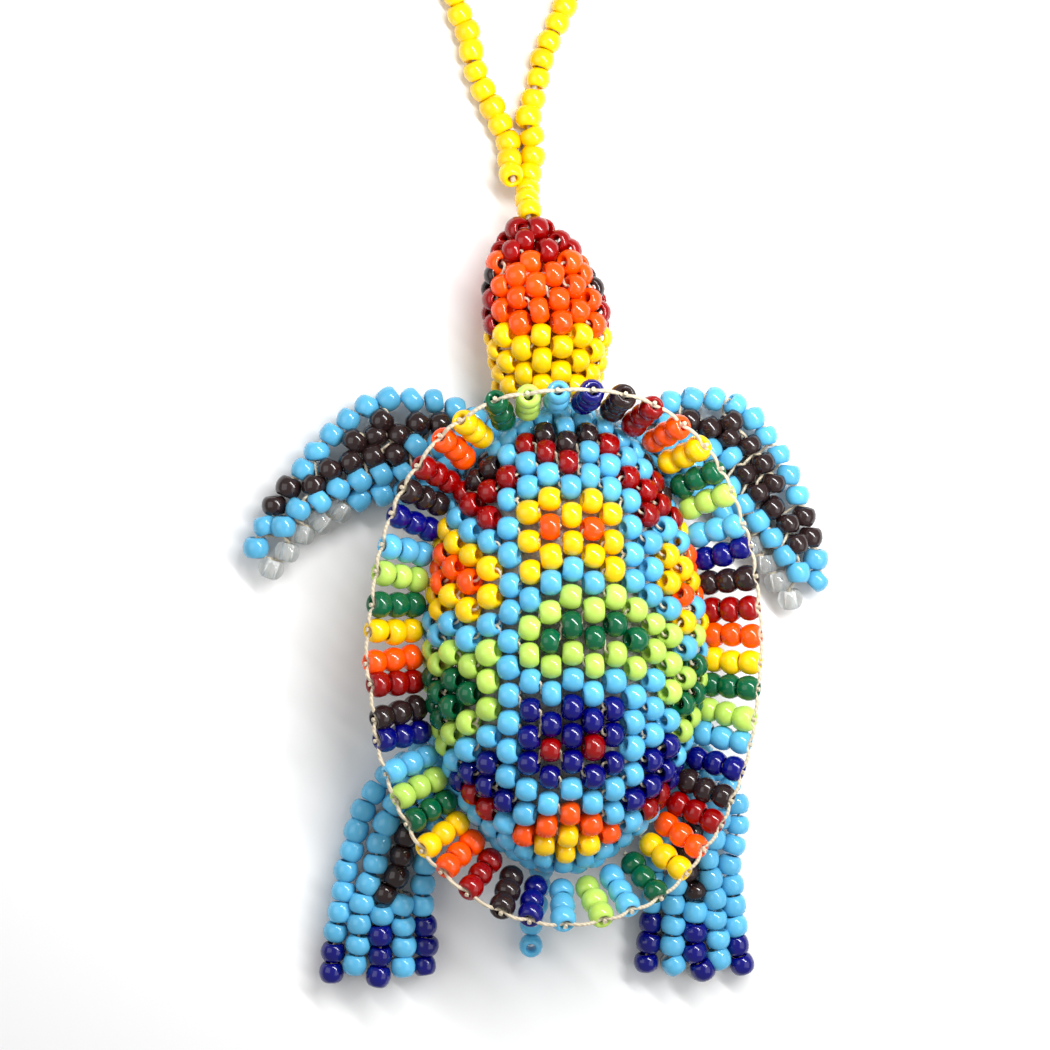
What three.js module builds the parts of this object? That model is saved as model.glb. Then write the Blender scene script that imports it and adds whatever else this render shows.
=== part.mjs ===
// A sea turtle sewn from glass seed beads, with a bead-strung hanging loop at its nose.
// Millimetres, +Z up, head towards -Y, the turtle's own left towards +X, belly on Z = 0.
// Each sewn panel or tube of beads is one solid; the rim's bead ribs are separate solids.
import * as THREE from "three";

// Beads and thread
const BEAD_LENGTH = 1.75; // along the hole
const THREAD_DIAMETER = 0.4;
const SEWING_GAP = 0.3; // air between pieces that are sewn together
const FLEX_GAP = 0.7; // air at the root of a limb, so that it can turn

// Shell: an egg-shaped outline, widest at its centre, with a longer half towards the head
const SHELL_CENTRE = new THREE.Vector3(-2.1, 3.6, 0);
const SHELL_WIDTH = 24.8;
const SHELL_HEAD_HALF = 22;
const SHELL_TAIL_HALF = 20.4;
const SEAM_HEIGHT = 4.5; // where the belly's edge meets the dome's
const DOME_HEIGHT = 10; // above the seam
const DOME_FULLNESS = 2.3; // superellipse exponent of the dome's profile, 2 for an ellipse
const WALL = 2.25; // one bead thick
const BELLY_FLAT_SHARE = 0.72; // of the outline, the part that lies flat
const BELLY_TURN_SHARE = 0.93; // of the outline, where the belly's side turns up to the seam
const BELLY_TURN_RISE = 1 / 3; // of the seam's height, how high that is
const STUFFING_FLOOR_SHARE = 0.68; // of the outline, how far the stuffing lies flat

// Faces round each kind of round solid
const LIMB_SIDES = 12;
const HEAD_SIDES = 16;
const BEAD_SIDES = 8;
const THREAD_SIDES = 5;
const SHELL_SEGMENTS = 32;
const DOME_STEPS = 7;

// Rim: ribs of three beads all round the shell, their outer ends joined by one thread
const RIB_COUNT = 49;
const BEADS_PER_RIB = 3;
const RIB_GAP = 0.15; // between neighbouring ribs at their roots
const RIB_WAIST = 0.78; // radius between two beads, as a share of the bead's
const RIB_PHASE = 0.6; // of a pitch, from the middle of the head end to the first rib
const RIB_CROWDING = 0.06; // ribs stand closer together towards the tail
const RIB_SEAM_RISE = 1.1; // rib roots above the seam along the sides
const RIB_NECK_RISE = 3; // extra rise of the rib roots over the neck
const RIB_SIDE_TILT = THREE.MathUtils.degToRad(30); // ribs flare upwards
const RIB_NECK_TILT = THREE.MathUtils.degToRad(48); // extra tilt over the neck
const RIB_TAIL_TILT = THREE.MathUtils.degToRad(27); // extra tilt over the tail
const NECK_ARCH = 0.1; // share of the outline each side over which rise and tilt fade
const TAIL_ARCH = 0.065; // the same over the tail

// Head: sections from the neck to the nose, as shares of the head's length, width and depth
const HEAD_LENGTH = 15.1;
const HEAD_WIDTH = 11.9;
const HEAD_DEPTH = 8.8;
const HEAD_LEAN = 1.8; // sideways drift of the nose
const HEAD_LEAN_POWER = 2.5; // how late along the head the drift comes
const NECK_OFFSET = 1.2; // of the neck from the shell's centre line
const NECK_DROP = 0.3; // of the neck's middle, below the seam
const NECK_SHARE = 0.33; // of the head's length, over which it rises to the head's height
const HEAD_RISE = 1.1; // of the head's middle, above the neck's
const HEAD_SECTIONS = [
  { along: 0, girth: 0.84 },
  { along: 0.14, girth: 0.9 },
  { along: 0.34, girth: 1 },
  { along: 0.6, girth: 0.98 },
  { along: 0.8, girth: 0.78 },
  { along: 0.93, girth: 0.54 },
  { along: 1, girth: 0.3 },
];

// Limbs: where each root sits along the outline (0 at the head, clockwise from above as seen
// with the head up), and stations measured from the root: sideways, rearwards, half width,
// and how much slimmer the limb is there than at its root
const LIMB_REST_HEIGHT = 0.15; // under a limb
const LIMB_SEAM_DROP = 0.25; // from the seam down to the top of a limb's root
const LIMBS = {
  front_right_flipper: {
    seat: 0.088,
    stations: [
      { out: 0, back: 0, halfWidth: 3.9, slimmer: 0 },
      { out: 3.1, back: -0.8, halfWidth: 4.9, slimmer: -0.1 },
      { out: 6.4, back: -0.6, halfWidth: 5.1, slimmer: -0.1 },
      { out: 8.8, back: 2, halfWidth: 4.6, slimmer: 0 },
      { out: 10.6, back: 4.8, halfWidth: 4.2, slimmer: 0.1 },
      { out: 12.4, back: 7.9, halfWidth: 3.6, slimmer: 0.3 },
      { out: 13.9, back: 11.1, halfWidth: 2.9, slimmer: 0.7 },
      { out: 14.7, back: 13.9, halfWidth: 1.9, slimmer: 1.5 },
    ],
  },
  front_left_flipper: {
    seat: 0.912,
    stations: [
      { out: 0, back: 0, halfWidth: 3.9, slimmer: 0 },
      { out: 3.6, back: -0.7, halfWidth: 4.9, slimmer: -0.1 },
      { out: 6.9, back: -0.4, halfWidth: 5.2, slimmer: -0.1 },
      { out: 10.3, back: 1.1, halfWidth: 4.2, slimmer: 0 },
      { out: 13.1, back: 3.5, halfWidth: 3.4, slimmer: 0.1 },
      { out: 15.8, back: 5.7, halfWidth: 2.7, slimmer: 0.4 },
      { out: 17.3, back: 8.2, halfWidth: 2.3, slimmer: 0.9 },
      { out: 18.8, back: 10.8, halfWidth: 1.6, slimmer: 1.6 },
    ],
  },
  rear_right_flipper: {
    seat: 0.365,
    stations: [
      { out: 0, back: 0, halfWidth: 3.6, slimmer: 0 },
      { out: 2.8, back: 3.2, halfWidth: 3.8, slimmer: -0.1 },
      { out: 1.6, back: 7.4, halfWidth: 4.2, slimmer: 0 },
      { out: 1.5, back: 11.8, halfWidth: 4.6, slimmer: 0.3 },
      { out: 1.5, back: 15.3, halfWidth: 5, slimmer: 0.9 },
      { out: 1.7, back: 18.8, halfWidth: 5.5, slimmer: 1.7 },
    ],
  },
  rear_left_flipper: {
    seat: 0.635,
    stations: [
      { out: 0, back: 0, halfWidth: 3.6, slimmer: 0 },
      { out: 3.2, back: 3.2, halfWidth: 4.1, slimmer: -0.1 },
      { out: 4.5, back: 7.1, halfWidth: 4.2, slimmer: 0 },
      { out: 5, back: 11.6, halfWidth: 4.5, slimmer: 0.3 },
      { out: 5.2, back: 15.3, halfWidth: 5, slimmer: 0.9 },
      { out: 5.4, back: 18.8, halfWidth: 5.2, slimmer: 1.7 },
    ],
  },
};

// Tail: a short string of beads under the rim
const TAIL_BEADS = 4;
const TAIL_DIAMETER = 2.2;
const TAIL_OFFSET = 1.4; // from the shell's centre line
const TAIL_ROOT_HEIGHT = 2.2;
const TAIL_TIP_HEIGHT = 1.2;
const TAIL_DRIFT = 1.6; // sideways, root to tip

// Hanging loop: one string of beads from the nose, round and back to its own stem.
// Points are measured from the middle of the nose: sideways, forwards, and height above
// the table that the turtle lies on.
const LOOP_DIAMETER = 1.9;
const LOOP_SIDES = 8;
const LOOP_STEPS = 70;
const LOOP_ROUTE = [
  [0, 0.5, 5],
  [0, 1.6, 4.6],
  [0.1, 3.4, 2.4],
  [-0.5, 5.2, 1.15],
  [-0.9, 7.6, 1.1],
  [-0.4, 10.3, 1.1],
  [-1.8, 15.8, 1.1],
  [-3.7, 20.4, 1.1],
  [-7, 27.6, 1.1],
  [-10, 35.6, 1.1],
  [-11.4, 43.6, 1.1],
  [-9.7, 51.2, 1.1],
  [-4.2, 56, 1.1],
  [3.2, 56.4, 1.1],
  [9.6, 52.4, 1.1],
  [12.4, 45.2, 1.1],
  [11.6, 36.8, 1.1],
  [8.9, 28.6, 1.1],
  [5.9, 20.3, 1.1],
  [3.8, 13.1, 1.1],
  [2.1, 9.6, 1.1],
  [1.35, 7.8, 1.1],
  [1.25, 6, 1.8],
  [1.2, 4.3, 3.3],
];

// Colours of opaque glass beads
const GLASS = {
  sky: 0x5bb8e0,
  yellow: 0xffdd00,
  orange: 0xff5a00,
  red: 0xb80000,
  brown: 0x3a2828,
  navy: 0x00007e,
  lime: 0xc3e45a,
  green: 0x00693c,
  crystal: 0xe8eef0,
};
const THREAD_COLOUR = 0xe8dcc8;
const FIBRE_COLOUR = 0xf4f2ec;
const RIB_CYCLE = ["navy", "brown", "red", "orange", "yellow", "green", "lime", "sky"];
const SPARE_RIB = 22; // one extra sky rib near the tail interrupts the cycle here

const UP = new THREE.Vector3(0, 0, 1);

function glass(colour) {
  return new THREE.MeshStandardMaterial({ color: GLASS[colour], roughness: 0.15, metalness: 0 });
}

function soft(colour) {
  return new THREE.MeshStandardMaterial({ color: colour, roughness: 0.9, metalness: 0 });
}

function named(name, geometry, material) {
  const mesh = new THREE.Mesh(geometry, material);
  mesh.name = name;
  return mesh;
}

// The shell's outline from above, once round from the head end.
class ShellOutline extends THREE.Curve {
  getPoint(t, target = new THREE.Vector3()) {
    const angle = 2 * Math.PI * t;
    return target.copy(eggPoint(-Math.sin(angle), -Math.cos(angle), 0)).add(SHELL_CENTRE);
  }

  getOutward(share) {
    const tangent = this.getTangentAt(share);
    return new THREE.Vector3(-tangent.y, tangent.x, 0);
  }
}

// A direction on the unit circle, as a point on the outline moved inwards by inset.
function eggPoint(x, y, inset) {
  const halfLength = y < 0 ? SHELL_HEAD_HALF : SHELL_TAIL_HALF;
  return new THREE.Vector3(x * (SHELL_WIDTH / 2 - inset), y * (halfLength - inset), 0);
}

// A solid turned from a profile, then fitted to the shell's outline. Each profile point has
// its height, its inset from the outline and its reach, the share of the outline it goes to.
function shellTurning(profile, segments) {
  const turned = new THREE.LatheGeometry(
    profile.map((p) => new THREE.Vector2(p.reach, p.height)),
    segments,
  );
  const position = turned.getAttribute("position");
  for (let i = 0; i < position.count; i++) {
    const { reach, height, inset } = profile[i % profile.length];
    const angle = (2 * Math.PI * Math.floor(i / profile.length)) / segments;
    const place = eggPoint(Math.sin(angle), Math.cos(angle), inset).multiplyScalar(reach);
    position.setXYZ(i, SHELL_CENTRE.x + place.x, SHELL_CENTRE.y + place.y, height);
  }
  return turned;
}

// How far the dome reaches, as a share of its outline, at a share of its own height.
function domeReach(rise) {
  return (1 - rise ** DOME_FULLNESS) ** (1 / DOME_FULLNESS);
}

// Points up the dome's profile from its edge to its top, for a dome of the given height.
function domeProfile(inset, height, base, steps) {
  const profile = [];
  for (let i = 0; i <= steps; i++) {
    const rise = Math.sin((i / steps) * (Math.PI / 2));
    const reach = i === steps ? 0 : domeReach(rise);
    profile.push({ reach, inset, height: base + height * rise });
  }
  return profile;
}

function shellDome() {
  const base = SEAM_HEIGHT + SEWING_GAP / 2;
  const outer = domeProfile(0, DOME_HEIGHT, base, DOME_STEPS);
  const inner = domeProfile(WALL, DOME_HEIGHT - WALL, base, DOME_STEPS);
  return shellTurning([...outer.reverse(), ...inner], SHELL_SEGMENTS);
}

function bellyPanel() {
  const edge = SEAM_HEIGHT - SEWING_GAP / 2;
  return shellTurning(
    [
      { reach: 0, inset: 0, height: WALL },
      { reach: BELLY_FLAT_SHARE, inset: WALL, height: WALL },
      { reach: 1, inset: WALL, height: edge },
      { reach: 1, inset: 0, height: edge },
      { reach: BELLY_TURN_SHARE, inset: 0, height: edge * BELLY_TURN_RISE },
      { reach: BELLY_FLAT_SHARE, inset: 0, height: 0 },
      { reach: 0, inset: 0, height: 0 },
    ],
    SHELL_SEGMENTS,
  );
}

function fibreStuffing() {
  const inset = WALL + SEWING_GAP;
  const top = domeProfile(inset, DOME_HEIGHT - inset, SEAM_HEIGHT + SEWING_GAP / 2, DOME_STEPS);
  const floor = WALL + SEWING_GAP;
  return shellTurning(
    [
      ...top.reverse(),
      { reach: STUFFING_FLOOR_SHARE, inset, height: floor },
      { reach: 0, inset, height: floor },
    ],
    SHELL_SEGMENTS,
  );
}

// A closed body through elliptical sections: centre, half width and half height of each.
// The first section faces along facing.
function loft(sections, facing, sides) {
  const geometry = new THREE.SphereGeometry(1, sides, sections.length + 1);
  const position = geometry.getAttribute("position");
  const last = sections.length - 1;
  for (let i = 0; i < position.count; i++) {
    const row = Math.floor(i / (sides + 1));
    const turn = (2 * Math.PI * (i % (sides + 1))) / sides;
    const k = THREE.MathUtils.clamp(row - 1, 0, last);
    const from = sections[Math.max(k - 1, 0)].centre;
    const to = sections[Math.min(k + 1, last)].centre;
    const forward = k === 0 ? facing : to.clone().sub(from).setZ(0).normalize();
    const side = UP.clone().cross(forward);
    const open = row === 0 || row > sections.length ? 0 : 1;
    const place = sections[k].centre
      .clone()
      .addScaledVector(side, -Math.cos(turn) * sections[k].halfWidth * open)
      .addScaledVector(UP, Math.sin(turn) * sections[k].halfHeight * open);
    position.setXYZ(i, place.x, place.y, place.z);
  }
  return geometry;
}

const outline = new ShellOutline();

// A place on the outline, moved outwards by a gap.
function seatPoint(share, gap) {
  return outline.getPointAt(share).addScaledVector(outline.getOutward(share), gap);
}

const ROOT_THICKNESS = SEAM_HEIGHT - LIMB_SEAM_DROP - LIMB_REST_HEIGHT;

function limb({ seat, stations }) {
  const root = seatPoint(seat, FLEX_GAP);
  const side = seat < 0.5 ? -1 : 1;
  const sections = stations.map(({ out, back, halfWidth, slimmer }) => {
    const halfHeight = (ROOT_THICKNESS - slimmer) / 2;
    const centre = new THREE.Vector3(
      root.x + side * out,
      root.y + back,
      LIMB_REST_HEIGHT + halfHeight,
    );
    return { centre, halfWidth, halfHeight };
  });
  return loft(sections, outline.getOutward(seat), LIMB_SIDES);
}

const neckStart = new THREE.Vector3(
  SHELL_CENTRE.x + NECK_OFFSET,
  SHELL_CENTRE.y - SHELL_HEAD_HALF - FLEX_GAP,
  SEAM_HEIGHT - NECK_DROP,
);
const noseTip = new THREE.Vector3(
  neckStart.x + HEAD_LEAN,
  neckStart.y - HEAD_LENGTH,
  neckStart.z + HEAD_RISE,
);

function head() {
  const sections = HEAD_SECTIONS.map(({ along, girth }) => {
    const centre = neckStart.clone().lerp(noseTip, along);
    centre.x = neckStart.x + HEAD_LEAN * along ** HEAD_LEAN_POWER;
    centre.z = neckStart.z + HEAD_RISE * Math.min(1, along / NECK_SHARE);
    return { centre, halfWidth: (HEAD_WIDTH / 2) * girth, halfHeight: (HEAD_DEPTH / 2) * girth };
  });
  return loft(sections, new THREE.Vector3(0, -1, 0), HEAD_SIDES);
}

// A string of beads along +Y of its own frame, starting at the origin.
function beadString(count, diameter) {
  const radius = diameter / 2;
  const profile = [new THREE.Vector2(0, 0), new THREE.Vector2(radius * RIB_WAIST, 0)];
  for (let i = 0; i < count; i++) {
    profile.push(new THREE.Vector2(radius, (i + 0.5) * BEAD_LENGTH));
    profile.push(new THREE.Vector2(radius * RIB_WAIST, (i + 1) * BEAD_LENGTH));
  }
  profile.push(new THREE.Vector2(0, count * BEAD_LENGTH));
  return new THREE.LatheGeometry(profile, BEAD_SIDES);
}

function aimed(mesh, start, direction) {
  mesh.position.copy(start);
  mesh.quaternion.setFromUnitVectors(new THREE.Vector3(0, 1, 0), direction.clone().normalize());
  return mesh;
}

// Share of the outline at which rib i stands: evenly spaced, a little closer at the tail.
function ribShare(i) {
  const even = (i + RIB_PHASE) / RIB_COUNT;
  return even + (RIB_CROWDING * Math.sin(2 * Math.PI * even)) / (2 * Math.PI);
}

// 1 at the middle of an arch over the rim, fading to 0 along its sides.
function archShare(away, arch) {
  return Math.exp(-((away / arch) ** 2));
}

const tightestPitch = (outline.getLength() / RIB_COUNT) * (1 - RIB_CROWDING);
const domeReachAtNeck = domeReach((RIB_SEAM_RISE + RIB_NECK_RISE) / DOME_HEIGHT);
const ribDiameter = tightestPitch * domeReachAtNeck - RIB_GAP;

// Root, direction and outer end of rib i.
function ribPlace(i) {
  const share = ribShare(i);
  const fromHead = Math.min(share, 1 - share);
  const neck = archShare(fromHead, NECK_ARCH);
  const tail = archShare(0.5 - fromHead, TAIL_ARCH);
  const rise = RIB_SEAM_RISE + RIB_NECK_RISE * neck;
  const tilt = RIB_SIDE_TILT + RIB_NECK_TILT * neck + RIB_TAIL_TILT * tail;
  const outward = outline.getOutward(share);
  const root = outline
    .getPointAt(share)
    .sub(SHELL_CENTRE)
    .multiplyScalar(domeReach(rise / DOME_HEIGHT))
    .add(SHELL_CENTRE)
    .addScaledVector(outward, SEWING_GAP + (ribDiameter / 2) * Math.sin(tilt));
  root.z = SEAM_HEIGHT + rise;
  const direction = outward.clone().multiplyScalar(Math.cos(tilt)).addScaledVector(UP, Math.sin(tilt));
  const end = root.clone().addScaledVector(direction, BEADS_PER_RIB * BEAD_LENGTH);
  return { root, direction, end, outward };
}

function ribColour(i) {
  if (i === SPARE_RIB) return "sky";
  const step = i < SPARE_RIB ? i : i - 1;
  return RIB_CYCLE[step % RIB_CYCLE.length];
}

function rib(i) {
  const { root, direction } = ribPlace(i);
  const name = "rim_rib_" + String(i + 1).padStart(2, "0");
  const mesh = named(name, beadString(BEADS_PER_RIB, ribDiameter), glass(ribColour(i)));
  return aimed(mesh, root, direction);
}

// The thread that runs from rib end to rib end, a closed ring.
function rimThread() {
  const ring = new THREE.TorusGeometry(1, THREAD_DIAMETER / 2, THREAD_SIDES, RIB_COUNT);
  const position = ring.getAttribute("position");
  for (let i = 0; i < position.count; i++) {
    const rank = i % (RIB_COUNT + 1);
    const turn = (-2 * Math.PI * Math.floor(i / (RIB_COUNT + 1))) / THREAD_SIDES;
    const { end, direction, outward } = ribPlace(rank % RIB_COUNT);
    const place = end
      .clone()
      .addScaledVector(direction, SEWING_GAP + THREAD_DIAMETER / 2)
      .addScaledVector(outward, (Math.cos(turn) * THREAD_DIAMETER) / 2)
      .addScaledVector(UP, (Math.sin(turn) * THREAD_DIAMETER) / 2);
    position.setXYZ(i, place.x, place.y, place.z);
  }
  return ring;
}

function tail() {
  const start = new THREE.Vector3(
    SHELL_CENTRE.x + TAIL_OFFSET,
    SHELL_CENTRE.y + SHELL_TAIL_HALF + FLEX_GAP,
    TAIL_ROOT_HEIGHT,
  );
  const length = TAIL_BEADS * BEAD_LENGTH;
  const direction = new THREE.Vector3(TAIL_DRIFT, length, TAIL_TIP_HEIGHT - TAIL_ROOT_HEIGHT);
  const mesh = named("tail", beadString(TAIL_BEADS, TAIL_DIAMETER), glass("sky"));
  return aimed(mesh, start, direction);
}

function hangLoop() {
  const route = new THREE.CatmullRomCurve3(
    LOOP_ROUTE.map(([x, y, z]) => new THREE.Vector3(noseTip.x + x, noseTip.y - y, z)),
    false,
    "centripetal",
  );
  const section = new THREE.Shape();
  for (let i = 0; i < LOOP_SIDES; i++) {
    const turn = (2 * Math.PI * i) / LOOP_SIDES;
    const place = new THREE.Vector2(Math.cos(turn), Math.sin(turn)).multiplyScalar(LOOP_DIAMETER / 2);
    if (i === 0) section.moveTo(place.x, place.y);
    else section.lineTo(place.x, place.y);
  }
  section.closePath();
  return new THREE.ExtrudeGeometry(section, { steps: LOOP_STEPS, extrudePath: route });
}

const group = new THREE.Group();
group.add(named("shell_dome", shellDome(), glass("sky")));
group.add(named("belly_panel", bellyPanel(), glass("crystal")));
group.add(named("fibre_stuffing", fibreStuffing(), soft(FIBRE_COLOUR)));
for (let i = 0; i < RIB_COUNT; i++) group.add(rib(i));
group.add(named("rim_thread", rimThread(), soft(THREAD_COLOUR)));
group.add(named("head", head(), glass("orange")));
for (const [name, limbPlan] of Object.entries(LIMBS)) {
  group.add(named(name, limb(limbPlan), glass("sky")));
}
group.add(tail());
group.add(named("hang_loop", hangLoop(), glass("yellow")));

export default group;
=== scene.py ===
"""A sea turtle sewn from glass seed beads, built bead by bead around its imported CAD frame.

Sizes in the settings are in millimetres; the frame and every mesh are in metres.
"""

import math
import random

import bmesh
import bpy
from mathutils import Matrix, Quaternion, Vector, noise
from mathutils.kdtree import KDTree


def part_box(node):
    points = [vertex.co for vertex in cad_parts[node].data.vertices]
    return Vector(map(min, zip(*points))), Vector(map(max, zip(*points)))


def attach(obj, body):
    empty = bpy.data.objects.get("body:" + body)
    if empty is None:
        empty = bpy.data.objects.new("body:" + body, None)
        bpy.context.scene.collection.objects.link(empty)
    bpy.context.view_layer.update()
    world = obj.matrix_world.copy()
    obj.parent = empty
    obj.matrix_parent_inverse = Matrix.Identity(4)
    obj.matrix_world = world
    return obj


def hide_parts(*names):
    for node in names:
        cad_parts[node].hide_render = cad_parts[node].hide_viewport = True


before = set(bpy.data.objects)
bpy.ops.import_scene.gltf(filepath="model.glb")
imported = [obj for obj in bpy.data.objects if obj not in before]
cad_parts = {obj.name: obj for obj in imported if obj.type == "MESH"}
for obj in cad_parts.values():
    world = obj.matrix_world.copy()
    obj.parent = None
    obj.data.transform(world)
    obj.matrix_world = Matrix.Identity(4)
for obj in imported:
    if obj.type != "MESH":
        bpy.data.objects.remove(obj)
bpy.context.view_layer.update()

bl_info = {
    "name": "Beaded Turtle",
    "version": (1, 0, 0),
    "blender": (4, 5, 0),
    "location": "View3D > Sidebar > Turtle",
    "description": "Sews a sea turtle ornament from glass seed beads",
    "category": "Add Mesh",
}

MM = 0.001
UP = Vector((0, 0, 1))

# Opaque and clear glass, by the letter that the bead charts use.
LETTERS = {
    "s": "sky",
    "y": "yellow",
    "o": "orange",
    "r": "red",
    "b": "brown",
    "n": "navy",
    "l": "lime",
    "g": "green",
    "c": "crystal",
}


# ---- settings


class TurtleSizes(bpy.types.PropertyGroup):
    bead_diameter: bpy.props.FloatProperty(
        name="Bead diameter", description="Across a bead, mm", default=2.36, min=1, max=5
    )
    bead_length: bpy.props.FloatProperty(
        name="Bead length", description="Along a bead's hole, mm", default=1.78, min=0.8, max=4
    )
    hole_diameter: bpy.props.FloatProperty(
        name="Hole diameter", description="Of a bead's hole, mm", default=0.85, min=0.3, max=2
    )
    column_pitch: bpy.props.FloatProperty(
        name="Column pitch", description="Between bead columns on the dome, mm", default=1.92
    )
    row_pitch: bpy.props.FloatProperty(
        name="Row pitch", description="Between beads down one column, mm", default=2.48
    )
    thread_diameter: bpy.props.FloatProperty(
        name="Thread diameter", description="Sewing thread, mm", default=0.26
    )
    unevenness: bpy.props.FloatProperty(
        name="Unevenness", description="How much beads differ in size", default=0.035, subtype="FACTOR"
    )
    seed: bpy.props.IntProperty(
        name="Seed", description="Start of the random differences between beads", default=7
    )


def hex_colour(name, default):
    return bpy.props.StringProperty(name=name, description="sRGB hex", default=default)


class TurtleColours(bpy.types.PropertyGroup):
    sky: hex_colour("Sky", "#5CB6E0")
    yellow: hex_colour("Yellow", "#FFCC00")
    orange: hex_colour("Orange", "#FF5200")
    red: hex_colour("Red", "#900000")
    brown: hex_colour("Brown", "#2A1B1B")
    navy: hex_colour("Navy", "#02026E")
    lime: hex_colour("Lime", "#B9DC5E")
    green: hex_colour("Green", "#005A36")
    crystal: hex_colour("Crystal", "#F2F4F2")
    thread: hex_colour("Thread", "#DFD0B4")
    fibre: hex_colour("Fibre", "#EDE9E0")


def sizes():
    return bpy.context.scene.turtle_sizes


def colours():
    return bpy.context.scene.turtle_colours


# ---- materials


def linear(code):
    """sRGB hex to linear RGBA."""
    parts = [int(code[i : i + 2], 16) / 255 for i in (1, 3, 5)]
    curve = [p / 12.92 if p <= 0.04045 else ((p + 0.055) / 1.055) ** 2.4 for p in parts]
    return (*curve, 1.0)


def add_node(tree, kind, inputs=None, **settings):
    """Adds a shader node and sets its fields and inputs; a node given as an input stands
    for its first output, which is linked."""
    node = tree.nodes.new("ShaderNode" + kind)
    for key, value in settings.items():
        setattr(node, key, value)
    for key, value in (inputs or {}).items():
        if isinstance(value, bpy.types.Node):
            value = value.outputs[0]
        if isinstance(value, bpy.types.NodeSocket):
            tree.links.new(value, node.inputs[key])
        else:
            node.inputs[key].default_value = value
    return node


def empty_material(name):
    """A named node material with nothing in it but its output node."""
    material = bpy.data.materials.new(name)
    material.use_nodes = True
    tree = material.node_tree
    tree.nodes.clear()
    output = add_node(tree, "OutputMaterial")
    return material, tree, output


def opaque_glass(colour_name):
    """Opaque soda-lime glass, drawn as a cane, cut and fire polished: wet gloss, soft dimples."""
    name = "opaque_glass_" + colour_name
    if name in bpy.data.materials:
        return bpy.data.materials[name]
    base = linear(getattr(colours(), colour_name))
    material, tree, output = empty_material(name)
    place = add_node(tree, "TexCoord").outputs["Object"]
    shade = add_node(tree, "Attribute", attribute_name="bead_shade").outputs["Fac"]
    # Each bead is its own cut of cane, a little lighter or darker than the next.
    value = add_node(tree, "MapRange", {"Value": shade, "To Min": 0.86, "To Max": 1.1})
    # Streaks of pigment, about 0.6 mm apart, run through the glass.
    cloud = add_node(tree, "TexNoise", {"Vector": place, "Scale": 1600.0, "Detail": 2.0})
    streak = add_node(tree, "MapRange", {"Value": cloud, "To Min": 0.94, "To Max": 1.06})
    total = add_node(tree, "Math", {0: value, 1: streak}, operation="MULTIPLY")
    tint = add_node(tree, "HueSaturation", {"Value": total, "Color": base})
    # Fire polish leaves shallow dimples about 0.4 mm across.
    dimple = add_node(tree, "TexNoise", {"Vector": place, "Scale": 2400.0, "Detail": 1.0})
    bump = add_node(tree, "Bump", {"Strength": 0.12, "Distance": 0.00005, "Height": dimple})
    gloss = add_node(tree, "MapRange", {"Value": cloud, "To Min": 0.08, "To Max": 0.2})
    look = {"Base Color": tint, "Roughness": gloss, "IOR": 1.52, "Normal": bump}
    shader = add_node(tree, "BsdfPrincipled", look)
    tree.links.new(shader.outputs[0], output.inputs[0])
    return material


def clear_glass():
    """Clear crystal seed beads: bright rims, and the thread inside shows through."""
    name = "clear_glass_crystal"
    if name in bpy.data.materials:
        return bpy.data.materials[name]
    material, tree, output = empty_material(name)
    place = add_node(tree, "TexCoord").outputs["Object"]
    cloud = add_node(tree, "TexNoise", {"Vector": place, "Scale": 1800.0, "Detail": 1.0})
    gloss = add_node(tree, "MapRange", {"Value": cloud, "To Min": 0.02, "To Max": 0.09})
    bump = add_node(tree, "Bump", {"Strength": 0.2, "Distance": 0.00006, "Height": cloud})
    shader = add_node(
        tree,
        "BsdfPrincipled",
        {
            "Base Color": linear(colours().crystal),
            "Roughness": gloss,
            "IOR": 1.52,
            "Transmission Weight": 0.8,
            "Normal": bump,
        },
    )
    tree.links.new(shader.outputs[0], output.inputs[0])
    return material


def nylon_thread():
    """Twisted nylon beading thread, waxed: fine slanting plies with painted shade in the grooves
    between them, and a soft sheen.
    """
    name = "waxed_nylon_thread"
    if name in bpy.data.materials:
        return bpy.data.materials[name]
    material, tree, output = empty_material(name)
    place = add_node(tree, "TexCoord").outputs["Object"]
    # Plies about 0.3 mm apart.
    ply = add_node(
        tree,
        "TexWave",
        {"Vector": place, "Scale": 1300.0, "Distortion": 1.5, "Detail": 1.0},
        bands_direction="DIAGONAL",
    ).outputs["Fac"]
    # The grooves between the plies are darkened in the colour: painted shade.
    level = add_node(tree, "MapRange", {"Value": ply, "To Min": 0.72, "To Max": 1.0})
    colour = add_node(tree, "HueSaturation", {"Value": level, "Color": linear(colours().thread)})
    bump = add_node(tree, "Bump", {"Strength": 0.6, "Distance": 0.00006, "Height": ply})
    look = {"Base Color": colour, "Roughness": 0.55, "Sheen Weight": 0.3, "Normal": bump}
    shader = add_node(tree, "BsdfPrincipled", look)
    tree.links.new(shader.outputs[0], output.inputs[0])
    return material


def white_fibre():
    """Loose polyester fibre: white, matt, with shadowed tufts about 1 mm across."""
    material, tree, output = empty_material("loose_polyester_fibre")
    place = add_node(tree, "TexCoord").outputs["Object"]
    tuft = add_node(
        tree, "TexNoise", {"Vector": place, "Scale": 1100.0, "Detail": 6.0, "Distortion": 2.0}
    )
    level = add_node(tree, "MapRange", {"Value": tuft, "To Min": 0.6, "To Max": 1.05})
    colour = add_node(tree, "HueSaturation", {"Value": level, "Color": linear(colours().fibre)})
    bump = add_node(tree, "Bump", {"Strength": 1.0, "Distance": 0.0004, "Height": tuft})
    look = {"Base Color": colour, "Roughness": 0.9, "Sheen Weight": 0.5, "Normal": bump}
    shader = add_node(tree, "BsdfPrincipled", look)
    tree.links.new(shader.outputs[0], output.inputs[0])
    return material


def glass(colour_name):
    return clear_glass() if colour_name == "crystal" else opaque_glass(colour_name)


# ---- beads and thread


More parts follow.
